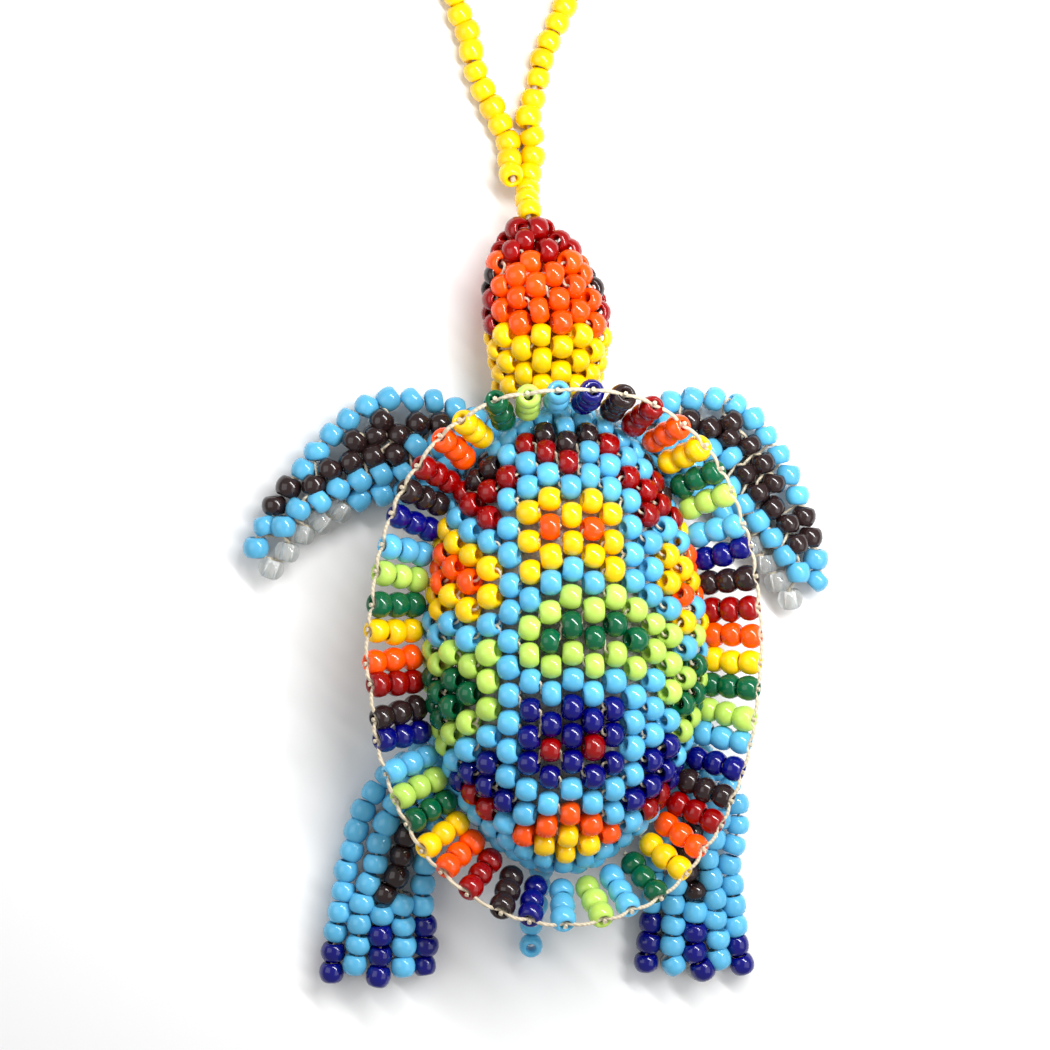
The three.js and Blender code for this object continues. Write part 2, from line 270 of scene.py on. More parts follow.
class Bead:
    """One bead: its middle, the way its hole points, its outward side, colour and size."""

    def __init__(self, place, along, outward, letter, girth=1.0, length=1.0):
        self.place = Vector(place)
        self.along = Vector(along).normalized()
        self.outward = Vector(outward).normalized()
        self.letter = letter
        self.girth = girth
        self.length = length


RING_STEPS = 8
SECTION_STEPS = 7
# Subdivision draws a ring of 8 and a section of 7 in by these shares.
SUBDIVIDED_GIRTH = 0.902
SUBDIVIDED_SECTION = 0.875
# How far the ends of a bead's wall curl in towards its hole, as a share of half the wall.
END_CURL = 0.4
# How much a bead's lean, rock, length and place differ, each as a multiple of unevenness.
TILT_SHARE = 3
ROCK_SHARE = 2
LENGTH_SHARE = 1.4
SLACK_SHARE = 1.6


def finished_mesh(bm, name):
    """The bmesh as a mesh of this name."""
    mesh = bpy.data.meshes.new(name)
    bm.to_mesh(mesh)
    bm.free()
    return mesh


def bead_template():
    """A seed bead round the X axis, in mm: a rounded section spun into a ring."""
    s = sizes()
    outer = s.bead_diameter / 2 / SUBDIVIDED_GIRTH
    inner = s.hole_diameter / 2 / SUBDIVIDED_GIRTH
    bm = bmesh.new()
    made = bmesh.ops.create_circle(bm, segments=SECTION_STEPS, radius=1.0)
    top = max(made["verts"], key=lambda vert: vert.co.y)
    turn = Matrix.Rotation(math.pi / 2 - math.atan2(top.co.y, top.co.x), 4, "Z")
    bmesh.ops.transform(bm, matrix=turn, verts=bm.verts)
    for vert in bm.verts:
        vert.co.y -= END_CURL * vert.co.x**2
    half_wall = (outer - inner) / 2
    reach = Vector((s.bead_length / 2 / SUBDIVIDED_SECTION, half_wall / SUBDIVIDED_SECTION, 1))
    bmesh.ops.scale(bm, vec=reach, verts=bm.verts)
    bmesh.ops.translate(bm, vec=(0, (outer + inner) / 2, 0), verts=bm.verts)
    bmesh.ops.spin(
        bm,
        geom=bm.verts[:] + bm.edges[:],
        cent=(0, 0, 0),
        axis=(1, 0, 0),
        angle=2 * math.pi,
        steps=RING_STEPS,
        use_merge=True,
        use_duplicate=False,
    )
    bmesh.ops.remove_doubles(bm, verts=bm.verts, dist=1e-4)
    bmesh.ops.recalc_face_normals(bm, faces=bm.faces)
    return finished_mesh(bm, "bead_template")


def bead_matrix(bead, rng):
    """Where one bead goes, in metres, with its own small differences."""
    s = sizes()
    along = bead.along
    side = bead.outward.cross(along).normalized()
    outward = along.cross(side).normalized()
    turn = Matrix((along, side, outward)).transposed().to_4x4()
    tilt = Quaternion(outward, rng.gauss(0, s.unevenness * TILT_SHARE)).to_matrix().to_4x4()
    rock = Quaternion(side, rng.gauss(0, s.unevenness * ROCK_SHARE)).to_matrix().to_4x4()
    girth = bead.girth * (1 + rng.gauss(0, s.unevenness))
    length = bead.length * (1 + rng.gauss(0, s.unevenness * LENGTH_SHARE))
    stretch = Matrix.Diagonal((length, girth, girth, 1))
    slack = s.unevenness * SLACK_SHARE
    shift = outward * rng.gauss(0, slack) + side * rng.gauss(0, slack)
    place = Matrix.Translation((bead.place + shift) * MM)
    return place @ Matrix.Scale(MM, 4) @ rock @ tilt @ turn @ stretch


def smooth(mesh):
    mesh.polygons.foreach_set("use_smooth", [True] * len(mesh.polygons))


def link(obj):
    bpy.context.scene.collection.objects.link(obj)
    return obj


def subdivided(obj, levels=1):
    surface = obj.modifiers.new("Subdivision", "SUBSURF")
    surface.levels = levels
    surface.render_levels = levels
    return obj


def string_beads(name, beads, colour_name, body, seed):
    """One piece: these beads in one colour of glass."""
    template = bead_template()
    per_bead = len(template.vertices)
    rng = random.Random(sizes().seed * 1000 + seed)
    bm = bmesh.new()
    for bead in beads:
        copy = template.copy()
        copy.transform(bead_matrix(bead, rng))
        bm.from_mesh(copy)
        bpy.data.meshes.remove(copy)
    mesh = finished_mesh(bm, name)
    bpy.data.meshes.remove(template)
    shade = mesh.attributes.new("bead_shade", "FLOAT", "POINT")
    values = []
    for _ in beads:
        values += [rng.random()] * per_bead
    shade.data.foreach_set("value", values)
    smooth(mesh)
    mesh.materials.append(glass(colour_name))
    obj = subdivided(link(bpy.data.objects.new(name, mesh)))
    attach(obj, body)
    return obj


def beads_by_colour(name, beads, body, node):
    """One piece for each colour of bead in this group; all of them stand for the CAD node."""
    for letter, colour_name in LETTERS.items():
        chosen = [b for b in beads if b.letter == letter]
        if chosen:
            seed = sum(map(ord, name + letter))
            obj = string_beads(name + "_" + colour_name, chosen, colour_name, body, seed)
            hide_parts(node)


def thread_curve(name, runs, body, closed=False, diameter=None):
    """Sewing thread: each run is a list of points in mm."""
    curve = bpy.data.curves.new(name, "CURVE")
    curve.dimensions = "3D"
    curve.bevel_depth = (diameter or sizes().thread_diameter) / 2 * MM
    curve.bevel_resolution = 1
    curve.resolution_u = 3
    curve.use_fill_caps = True
    for run in runs:
        spline = curve.splines.new("NURBS")
        spline.points.add(len(run) - 1)
        for point, place in zip(spline.points, run):
            point.co = (*(place * MM), 1)
        spline.order_u = 3
        spline.use_endpoint_u = not closed
        spline.use_cyclic_u = closed
    curve.materials.append(nylon_thread())
    obj = link(bpy.data.objects.new(name, curve))
    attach(obj, body)
    return obj


# A stitch's far hole may lie this far behind its own, and its ends go this far in, in mm.
FACING_SLACK = 0.35
THREAD_HOLD = 0.5


def stitches(beads, reach, kept, sunk=0.1):
    """Short runs of thread from the end of each bead's hole to the nearest facing hole.

    Only the kept share of them is made; the rest are pulled down between the beads.
    """
    s = sizes()
    rng = random.Random(s.seed)
    half = s.bead_length / 2
    mouths = []
    for index, bead in enumerate(beads):
        for sign in (-1, 1):
            mouths.append((index, sign, bead.place + bead.along * half * sign * bead.length))
    tree = KDTree(len(mouths))
    for i, (_, _, mouth) in enumerate(mouths):
        tree.insert(mouth, i)
    tree.balance()
    runs = []
    used = set()
    for i, (index, sign, mouth) in enumerate(mouths):
        best = None
        for place, j, distance in tree.find_range(mouth, reach):
            other = mouths[j]
            pair = (min(index, other[0]), max(index, other[0]))
            facing = (place - mouth).dot(beads[index].along * sign) > -FACING_SLACK
            if other[0] == index or pair in used or not facing:
                continue
            if best is None or distance < best[0]:
                best = (distance, j, pair)
        if best is None:
            continue
        used.add(best[2])
        if rng.random() > kept:
            continue
        far_index, far_sign, far = mouths[best[1]]
        start = mouth - beads[index].along * sign * THREAD_HOLD
        end = far - beads[far_index].along * far_sign * THREAD_HOLD
        lift = (beads[index].outward + beads[far_index].outward) * -sunk
        runs.append([start, mouth, (mouth + far) / 2 + lift, far, end])
    return runs


# ---- the shell's form


def lengths_along(line):
    lengths = [0.0]
    for a, b in zip(line, line[1:]):
        lengths.append(lengths[-1] + (b - a).length)
    return lengths


class ShellForm:
    """The egg-shaped outline and the dome's height, read from the CAD dome."""

    # The share of the shell's length that lies headwards of its widest line.
    HEAD_SHARE = 22 / 42.4
    # How full the dome's curve is: 2 is an ellipse, and more is boxier.
    FULLNESS = 2.3
    # The share of the way out at which the flat belly starts to turn up.
    BELLY_FLAT = 0.62

    def __init__(self):
        low, high = (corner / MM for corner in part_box("shell_dome"))
        length = high.y - low.y
        self.half_width = (high.x - low.x) / 2
        self.head_half = length * self.HEAD_SHARE
        self.tail_half = length - self.head_half
        self.x = (low.x + high.x) / 2
        self.y = low.y + self.head_half
        self.seam = low.z
        self.height = high.z - low.z
        self.belly_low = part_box("belly_panel")[0].z / MM
        self.walk = self._walk_outline()

    def half_length(self, y):
        return self.head_half if y < 0 else self.tail_half

    def _walk_outline(self, steps=1440):
        points = []
        for i in range(steps + 1):
            angle = 2 * math.pi * i / steps
            y = -math.cos(angle)
            points.append(Vector((-math.sin(angle) * self.half_width, y * self.half_length(y), 0)))
        return points, lengths_along(points)

    def outline(self, share):
        """The outline's point at a share of its length from the head, and its outward side."""
        points, lengths = self.walk
        wanted = share % 1 * lengths[-1]
        i = next(k for k in range(1, len(lengths)) if lengths[k] >= wanted)
        part = (wanted - lengths[i - 1]) / (lengths[i] - lengths[i - 1])
        tangent = (points[i] - points[i - 1]).normalized()
        return points[i - 1].lerp(points[i], part), Vector((-tangent.y, tangent.x, 0))

    def share_of_outline(self, x, y):
        return math.hypot(x / self.half_width, y / self.half_length(y))

    def dome(self, x, y):
        rho = min(1.0, self.share_of_outline(x, y))
        return self.seam + self.height * (1 - rho**self.FULLNESS) ** (1 / self.FULLNESS)

    def belly(self, x, y):
        rho = min(1.0, self.share_of_outline(x, y))
        rise = max(0.0, rho - self.BELLY_FLAT) / (1 - self.BELLY_FLAT)
        return self.belly_low + (self.seam - self.belly_low) * rise**2

    def dome_reach(self, rise):
        return (1 - rise**self.FULLNESS) ** (1 / self.FULLNESS)


def walk_section(height, edge, y, wanted, steps=160):
    """The x at which a cross-section's surface is this far, along itself, from its middle."""
    length = 0.0
    x, z = 0.0, height(0.0, y)
    for i in range(1, steps + 1):
        # Finer steps near the edge, where the surface is steep.
        next_x = edge * math.sin(i / steps * math.pi / 2)
        next_z = height(next_x, y)
        step = math.hypot(next_x - x, next_z - z)
        if length + step >= wanted:
            part = (wanted - length) / step
            return x + (next_x - x) * part
        length += step
        x, z = next_x, next_z
    return None


def column_line(form, height, side, distance):
    """A bead column's line over the shell: points at one distance from the spine."""
    line = []
    steps = 150
    for i in range(1, steps):
        turn = math.pi * i / steps
        share = -math.cos(turn)
        y = share * form.half_length(share)
        edge = form.half_width * math.sin(turn)
        x = walk_section(height, edge, y, distance)
        if x is not None:
            line.append(Vector((side * x, y, height(x, y))))
    return line


# The steepest slope that a bead on the shell is turned to.
STEEPEST = 6.0


def surface_normal(height, x, y, sign):
    step = 0.05
    slope_x = (height(x + step, y) - height(x - step, y)) / (2 * step)
    slope_y = (height(x, y + step) - height(x, y - step)) / (2 * step)
    slope_x = max(-STEEPEST, min(STEEPEST, slope_x))
    slope_y = max(-STEEPEST, min(STEEPEST, slope_y))
    return Vector((-slope_x, -slope_y, 1)).normalized() * sign


def point_on_line(line, lengths, wanted):
    if wanted < 0 or wanted > lengths[-1]:
        return None
    for i in range(1, len(lengths)):
        if lengths[i] >= wanted:
            part = (wanted - lengths[i - 1]) / max(1e-9, lengths[i] - lengths[i - 1])
            return line[i - 1].lerp(line[i], part)
    return None


# The shell's bead columns lie this far to one side of its middle, in mm.
SPINE_SHIFT = 0.9
# The stuffing puffs the dome's sides out by this much, in mm.
DOME_PUFF = 1.0
# The skin's slack waves: how high, in mm, and how many to a mm.
SLACK_WAVE = 0.32
WAVES_PER_MM = 0.17
# Rows are counted from here: this row lies this far past the shell's widest line, in mm.
MIDDLE_ROW = 7.6
MIDDLE_Y = -1.0
ROWS = range(-6, 26)
# A bead's hole is turned by the column's run over this much either way, in mm.
RUN_REACH = 0.4
# The shell's stitches: how far they reach, in mm, and the share that shows.
SHELL_STITCHES = {"reach": 1.9, "kept": 0.35}


def shell_beads(form, height, sign, columns, letter_at):
    """Beads in staggered columns over the dome or the belly."""
    s = sizes()
    # A noise seed of 0 would be taken from the clock.
    noise.seed_set(max(1, s.seed))
    beads = []
    for column in columns:
        offset = (column - 0.5) * s.column_pitch + SPINE_SHIFT
        line = column_line(form, height, -1 if offset > 0 else 1, abs(offset))
        if len(line) < 3:
            continue
        lengths = lengths_along(line)
        nearest = min(range(len(line)), key=lambda k: abs(line[k].y - MIDDLE_Y))
        stagger = 0.5 * (column % 2)
        for row in ROWS:
            wanted = lengths[nearest] + (row - MIDDLE_ROW - stagger) * s.row_pitch
            place = point_on_line(line, lengths, wanted)
            if place is None:
                continue
            normal = surface_normal(height, place.x, place.y, sign)
            down = point_on_line(line, lengths, min(lengths[-1], wanted + RUN_REACH))
            up = point_on_line(line, lengths, max(0.0, wanted - RUN_REACH))
            along = (down - up).cross(normal)
            middle = place - normal * (s.bead_diameter / 2)
            if sign > 0:
                rise = (place.z - form.seam) / form.height
                side_share = place.x / form.half_width
                middle.x += DOME_PUFF * math.sin(math.pi * rise) * side_share
            middle += Vector((form.x, form.y, 0))
            middle += noise.noise_vector(middle * WAVES_PER_MM) * SLACK_WAVE
            beads.append(Bead(middle, along, normal, letter_at(column, row)))
    return beads


# ---- operators


class TurtleOperator(bpy.types.Operator):
    """Shared options of every step."""

    bl_options = {"REGISTER", "UNDO"}


# The camera looks down, leaning to one side: what it looks at, in mm, and how far off, in m.
CAMERA_LENS = 85
CAMERA_TARGET = Vector((1.1, -7.4, 4.0))
CAMERA_LEAN = math.radians(6)
CAMERA_DISTANCE = 0.223
AMBIENT = 0.4
FLOOR_HALF = 1.2
# Each light's name, place, long direction, length and width in mm, and power in watts. The
# strip gives each bead its one slanting streak.
LIGHTS = (
    ("key_strip", (-34, -42, 82), (1, -1, 0), 110, 9, 0.13),
    ("left_panel", (110, -20, 110), (0, 1, 0), 120, 120, 0.06),
    ("right_panel", (-110, 40, 120), (0, 1, 0), 120, 120, 0.06),
)


class TURTLE_OT_stage(TurtleOperator):
    """Set the camera, the lights and the pale floor"""

    bl_idname = "turtle.stage"
    bl_label = "Stage"

    def execute(self, context):
        self.add_camera(context.scene)
        self.add_world(context.scene)
        for light in LIGHTS:
            self.add_light(*light)
        self.add_floor()
        return {"FINISHED"}

    def add_camera(self, scene):
        data = bpy.data.cameras.new("camera")
        data.lens = CAMERA_LENS
        data.clip_start = 0.01
        data.clip_end = 5
        camera = link(bpy.data.objects.new("camera", data))
        target = CAMERA_TARGET * MM
        back = Vector((math.sin(CAMERA_LEAN), 0, math.cos(CAMERA_LEAN)))
        right = Vector((0, -1, 0)).cross(back).normalized()
        turn = Matrix((right, back.cross(right), back)).transposed().to_4x4()
        camera.matrix_world = Matrix.Translation(target + back * CAMERA_DISTANCE) @ turn
        scene.camera = camera

    def add_world(self, scene):
        world = bpy.data.worlds.new("soft_studio")
        world.use_nodes = True
        background = world.node_tree.nodes["Background"]
        background.inputs["Color"].default_value = (1, 1, 1, 1)
        background.inputs["Strength"].default_value = AMBIENT
        scene.world = world
        scene.view_settings.view_transform = "Standard"

    def add_light(self, name, place, long_way, length, width, watts):
        """An area light that faces the turtle, its length along a direction."""
        data = bpy.data.lights.new(name, "AREA")
        data.shape = "RECTANGLE"
        data.size = length * MM
        data.size_y = width * MM
        data.energy = watts
        lamp = link(bpy.data.objects.new(name, data))
        back = Vector(place).normalized()
        across = back.cross(Vector(long_way)).normalized()
        turn = Matrix((across.cross(back), across, back)).transposed().to_4x4()
        lamp.matrix_world = Matrix.Translation(Vector(place) * MM) @ turn

    def add_floor(self):
        bm = bmesh.new()
        bmesh.ops.create_grid(bm, x_segments=8, y_segments=8, size=FLOOR_HALF)
        mesh = finished_mesh(bm, "floor")
        material, tree, output = empty_material("matt_white_card")
        place = add_node(tree, "TexCoord").outputs["Object"]
        grain = add_node(tree, "TexNoise", {"Vector": place, "Scale": 900.0, "Detail": 2.0})
        bump = add_node(tree, "Bump", {"Strength": 0.05, "Distance": 0.00005, "Height": grain})
        look = {"Base Color": (0.93, 0.93, 0.93, 1), "Roughness": 0.95, "Normal": bump}
        shader = add_node(tree, "BsdfPrincipled", look)
        tree.links.new(shader.outputs[0], output.inputs[0])
        mesh.materials.append(material)
        link(bpy.data.objects.new("floor", mesh))


# The loop's beads are a little fatter than the turtle's, as a share of their width.
LOOP_GIRTH = 1.02
# How far a loop bead may lie to any side of the route, and above it, in mm.
LOOP_SWAY = 0.1
LOOP_LIFT = 0.06
LOOP_THREAD = 0.5
LOOP_NOSE = Vector((0.9, -34.2, 0))
# The loop's route from the nose and back beside its own stem: sideways, forwards and up, in
# mm, from the table under the nose.
LOOP_ROUTE = (
    (0, 0.5, 5),
    (0, 1.6, 4.6),
    (0.1, 3.4, 2.4),
    (-0.5, 5.2, 1.15),
    (-0.9, 7.6, 1.1),
    (-0.4, 10.3, 1.1),
    (-1.8, 15.8, 1.1),
    (-3.7, 20.4, 1.1),
    (-7, 27.6, 1.1),
    (-10, 35.6, 1.1),
    (-11.4, 43.6, 1.1),
    (-9.7, 51.2, 1.1),
    (-4.2, 56, 1.1),
    (3.2, 56.4, 1.1),
    (9.6, 52.4, 1.1),
    (12.4, 45.2, 1.1),
    (11.6, 36.8, 1.1),
    (8.9, 28.6, 1.1),
    (5.9, 20.3, 1.1),
    (3.8, 13.1, 1.1),
    (2.1, 9.6, 1.1),
    (1.35, 7.8, 1.1),
    (1.25, 6, 1.8),
    (1.2, 4.3, 3.3),
)


def smooth_route(points, steps):
    """A centripetal Catmull-Rom curve through the points."""
    ends = [points[0] * 2 - points[1], *points, points[-1] * 2 - points[-2]]
    route = []
    for p0, p1, p2, p3 in zip(ends, ends[1:], ends[2:], ends[3:]):
        t1 = math.sqrt((p1 - p0).length)
        t2 = t1 + math.sqrt((p2 - p1).length)
        t3 = t2 + math.sqrt((p3 - p2).length)
        for i in range(steps):
            t = t1 + (t2 - t1) * i / steps
            a1 = p0.lerp(p1, t / t1)
            a2 = p1.lerp(p2, (t - t1) / (t2 - t1))
            a3 = p2.lerp(p3, (t - t2) / (t3 - t2))
            b1 = a1.lerp(a2, t / t2)
            b2 = a2.lerp(a3, (t - t1) / (t3 - t1))
            route.append(b1.lerp(b2, (t - t1) / (t2 - t1)))
    return [*route, points[-1]]


class TURTLE_OT_hang_loop(TurtleOperator):
    """String the hanging loop of yellow beads at the nose"""

    bl_idname = "turtle.hang_loop"
    bl_label = "Hanging loop"

    def execute(self, context):
        s = sizes()
        points = [LOOP_NOSE + Vector((x, -y, z)) for x, y, z in LOOP_ROUTE]
        route = smooth_route(points, 6)
        lengths = lengths_along(route)
        count = round(lengths[-1] / s.bead_length)
        pitch = lengths[-1] / count
        rng = random.Random(s.seed)
        beads = []
        for i in range(count):
            middle = point_on_line(route, lengths, (i + 0.5) * pitch)
            ahead = point_on_line(route, lengths, min(lengths[-1], (i + 0.9) * pitch))
            behind = point_on_line(route, lengths, max(0.0, (i + 0.1) * pitch))
            along = ahead - behind
            aside = rng.uniform(-LOOP_SWAY, LOOP_SWAY)
            onward = rng.uniform(-LOOP_SWAY, LOOP_SWAY)
            place = middle + Vector((aside, onward, rng.uniform(0, LOOP_LIFT)))
            beads.append(Bead(place, along, UP, "y", LOOP_GIRTH, pitch / s.bead_length))
        loop = string_beads("hang_loop_beads", beads, "yellow", "loop", 1)
        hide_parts("hang_loop")
        thread = thread_curve("hang_loop_thread", [route[::3]], "loop", diameter=LOOP_THREAD)
        return {"FINISHED"}


# Bead columns, counted from the spine.
DOME_COLUMNS = range(-11, 13)
BELLY_COLUMNS = range(-8, 10)
# The dome's pattern, each column read from the head end: the middle columns by their own
# number, and the outer ones, the same on both sides, by how far out they are.
DOME_MIDDLE = {
    -3: "ssrsssssssssssnsss",
    -2: "rssyyysllsnnnssoss",
    -1: "brsyoyslglsnrnsoys",
    0: "brsyyslglsnnnsoyys",
    1: "bssyoyslglsnrnsoys",
    2: "rssyyylglsnnnssoss",
    3: "ssrsssslglssssnsss",
    4: "ssrrsssllsssnnrsss",
}
DOME_SIDE = {
    4: "sbrrsyyslllsnnrsss",
    5: "sbbrsyoyslglsnrsss",
    6: "sbrsyoyslgglsnssss",
    7: "ssssyooyslgglsssss",
    8: "ssssyoyslgglssssss",
    9: "sssssyysslllssssss",
}


def dome_letter(column, row):
    """The glass at one place of the dome's pattern; beyond it the dome is sky blue."""
    if column in DOME_MIDDLE:
        chart = DOME_MIDDLE[column]
    else:
        chart = DOME_SIDE.get(-column if column < 0 else column - 1, "")
    return chart[row] if 0 <= row < len(chart) else "s"


class TURTLE_OT_dome(TurtleOperator):
    """Sew the patterned dome of the shell"""

    bl_idname = "turtle.dome"
    bl_label = "Shell dome"

    def execute(self, context):
        form = ShellForm()
        beads = shell_beads(form, form.dome, 1, DOME_COLUMNS, dome_letter)
        if not beads:
            raise RuntimeError("the dome has no beads")
        beads_by_colour("dome_beads", beads, "shell", "shell_dome")
        thread_curve("dome_thread", stitches(beads, **SHELL_STITCHES), "shell")
        return {"FINISHED"}


class TURTLE_OT_belly(TurtleOperator):
    """Sew the belly panel of clear beads"""

    bl_idname = "turtle.belly"
    bl_label = "Belly panel"

    def execute(self, context):
        form = ShellForm()
        beads = shell_beads(form, form.belly, -1, BELLY_COLUMNS, lambda column, row: "c")
        beads_by_colour("belly_beads", beads, "shell", "belly_panel")
        thread_curve("belly_thread", stitches(beads, **SHELL_STITCHES), "shell")
        return {"FINISHED"}


# How deep the fibre's tufts are, as a share of its size, and how much they are smoothed.
TUFT_DEPTH = 0.03
TUFT_SMOOTHING = 0.4


class TURTLE_OT_stuffing(TurtleOperator):
    """Fill the shell with loose white fibre"""

    bl_idname = "turtle.stuffing"
    bl_label = "Fibre stuffing"

    def execute(self, context):
        low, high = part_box("fibre_stuffing")
        middle = (low + high) / 2
        bm = bmesh.new()
        bmesh.ops.create_icosphere(bm, subdivisions=5, radius=1.0)
        half = (high - low) / 2
        rng = random.Random(sizes().seed)
        for vert in bm.verts:
            tuft = 1 - rng.random() * TUFT_DEPTH
            place = vert.co * tuft
            vert.co = Vector((place.x * half.x, place.y * half.y, place.z * half.z)) + middle
        every_way = {"use_axis_x": True, "use_axis_y": True, "use_axis_z": True}
        bmesh.ops.smooth_vert(bm, verts=bm.verts, factor=TUFT_SMOOTHING, **every_way)
        mesh = finished_mesh(bm, "fibre_filling")
        smooth(mesh)
        mesh.materials.append(white_fibre())
        obj = link(bpy.data.objects.new("fibre_filling", mesh))
        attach(obj, "shell")
        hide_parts("fibre_stuffing")
        return {"FINISHED"}


RIB_COUNT = 49
RIB_CYCLE = "nbroygls"
SPARE_RIB = 22
RIB_PHASE = 0.6
RIB_CROWDING = 0.06
RIB_SEAM_RISE = 1.1
RIB_NECK_RISE = 3.0
RIB_SIDE_TILT = 30
RIB_NECK_TILT = 48
RIB_TAIL_TILT = 27
NECK_ARCH = 0.1
TAIL_ARCH = 0.065
RIB_BEADS = 3
RIB_ROOT_GAP = 0.3
# The rib beads sit this much closer in than their solids, tight against the dome, in mm.
RIB_TUCK = 0.35
RIB_SWAY = 0.04
# The rim's thread dips this far into each rib's hole and stands out this far between, in mm.
RIM_DIP = 0.45
RIM_LIFT = 0.12
RIM_THREAD = 0.36
# The thread through a rib starts this far before its beads and ends this far past them, in mm.
RIB_THREAD_ROOT = 0.5
RIB_THREAD_END = 0.2
RIB_THREAD = 0.4
# The first rib's own start of the random differences.
RIB_SEED = 100


def arch(away, width):
    return math.exp(-((away / width) ** 2))


def rib_line(form, i):
    """Root and direction of rib i, as the CAD ribs stand."""
    even = (i + RIB_PHASE) / RIB_COUNT
    share = even + RIB_CROWDING * math.sin(2 * math.pi * even) / (2 * math.pi)
    from_head = min(share, 1 - share)
    neck = arch(from_head, NECK_ARCH)
    tail = arch(0.5 - from_head, TAIL_ARCH)
    rise = RIB_SEAM_RISE + RIB_NECK_RISE * neck
    tilt = math.radians(RIB_SIDE_TILT + RIB_NECK_TILT * neck + RIB_TAIL_TILT * tail)
    edge, outward = form.outline(share)
    gap = RIB_ROOT_GAP + math.sin(tilt) - RIB_TUCK
    root = edge * form.dome_reach(rise / form.height) + outward * gap
    root += Vector((form.x, form.y, form.seam + rise))
    return root, outward * math.cos(tilt) + UP * math.sin(tilt)


def rib_letter(i):
    if i == SPARE_RIB:
        return "s"
    return RIB_CYCLE[(i if i < SPARE_RIB else i - 1) % len(RIB_CYCLE)]


class TURTLE_OT_rim(TurtleOperator):
    """Sew the rim's bead ribs and the thread that joins their outer ends"""

    bl_idname = "turtle.rim"
    bl_label = "Rim ribs"

    def execute(self, context):
        s = sizes()
        form = ShellForm()
        rng = random.Random(s.seed)
        length = s.bead_length * RIB_BEADS
        ends = []
        threads = []
        for i in range(RIB_COUNT):
            root, direction = rib_line(form, i)
            sideways = direction.cross(UP).normalized()
            direction = direction + sideways * rng.gauss(0, RIB_SWAY) + UP * rng.gauss(0, RIB_SWAY)
            direction.normalize()
            letter = rib_letter(i)
            beads = []
            for k in range(RIB_BEADS):
                middle = root + direction * s.bead_length * (k + 0.5)
                beads.append(Bead(middle, direction, UP, letter))
            name = f"rim_rib_beads_{i + 1:02d}"
            rib = string_beads(name, beads, LETTERS[letter], "shell", RIB_SEED + i)
            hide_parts(f"rim_rib_{i + 1:02d}")
            ends.append((root + direction * length, direction))
            start = root - direction * RIB_THREAD_ROOT
            threads.append([start, root + direction * (length + RIB_THREAD_END)])
        ring = []
        for (a, out), (b, _) in zip(ends, ends[1:] + ends[:1]):
            # The thread dips into each hole and crosses straight to the next.
            lift = out * RIM_LIFT
            ring += [a - out * RIM_DIP, a.lerp(b, 0.3) + lift, a.lerp(b, 0.7) + lift]
        rim = thread_curve("rim_edge_thread", [ring], "shell", closed=True, diameter=RIM_THREAD)
        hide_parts("rim_thread")
        thread_curve("rim_rib_thread", threads, "shell", diameter=RIB_THREAD)
        return {"FINISHED"}


# How a flipper's beads lie: pitch along a line and between lines in mm, the turn of a bead's
# hole away from its line in degrees, and the side that the lines are counted from: the
# trailing edge in front and the leading edge behind. Each line is read from its tip, and
# goes on in its last glass.
FRONT = {
    "pitch": 2.05,
    "spacing": 1.85,
    "turn": 25,
    "first_side": -1,
    "lines": ("cccccsssssssssss", "ssssssssssssssss", "bbbbbsssssssssss", "bbbbbbssssssssss"),
    "far_line": "ssbbssssssssssss",
}
REAR = {
    "pitch": 1.87,
    "spacing": 2.0,
    "turn": 0,
    "first_side": 1,
    "lines": ("nnssssss", "ssssssss", "nnnsbbbbs", "ssssssss", "nnnsssss"),
    "far_line": "nnnsssss",
}
# Each flipper's seat, as a share of the shell's outline from the head, and its stations from
# there: sideways, rearwards, half width and thickness, as the CAD has them.
FLIPPERS = {
    "front_right": {
        "seat": 0.088,
        "stations": (
            (0, 0, 3.9, 4.1),
            (3.1, -0.8, 4.9, 4.2),
            (6.4, -0.6, 5.1, 4.2),
            (8.8, 2, 4.6, 4.1),
            (10.6, 4.8, 4.2, 4),
            (12.4, 7.9, 3.6, 3.8),
            (13.9, 11.1, 2.9, 3.4),
            (14.7, 13.9, 1.9, 2.6),
        ),
        **FRONT,
    },
    "front_left": {
        "seat": 0.912,
        "stations": (
            (0, 0, 3.9, 4.1),
            (3.6, -0.7, 4.9, 4.2),
            (6.9, -0.4, 5.2, 4.2),
            (10.3, 1.1, 4.2, 4.1),
            (13.1, 3.5, 3.4, 4),
            (15.8, 5.7, 2.7, 3.7),
            (17.3, 8.2, 2.3, 3.2),
            (18.8, 10.8, 1.6, 2.5),
        ),
        **FRONT,
    },
    "rear_right": {
        "seat": 0.365,
        "stations": (
            (0, 0, 3.6, 4.1),
            (2.8, 3.2, 3.8, 4.2),
            (1.6, 7.4, 4.2, 4.1),
            (1.5, 11.8, 4.6, 3.8),
            (1.5, 15.3, 5, 3.2),
            (1.7, 18.8, 5.5, 2.4),
        ),
        **REAR,
    },
    "rear_left": {
        "seat": 0.635,
        "stations": (
            (0, 0, 3.6, 4.1),
            (3.2, 3.2, 4.1, 4.2),
            (4.5, 7.1, 4.2, 4.1),
            (5, 11.6, 4.5, 3.8),
            (5.2, 15.3, 5, 3.2),
            (5.4, 18.8, 5.2, 2.4),
        ),
        **REAR,
    },
}
LIMB_REST_HEIGHT = 0.15
FLEX_GAP = 0.7
# The flippers' roots are sewn this far under the shell's edge, in mm.
ROOT_TUCK = 1.7
# The beads stand out of the flippers' solids by this much at the sides, in mm.
LIMB_PROUD = 0.3
# The steps between two stations, and how many either way give the flipper's direction.
STATION_STEPS = 12
RUN_STEPS = 6
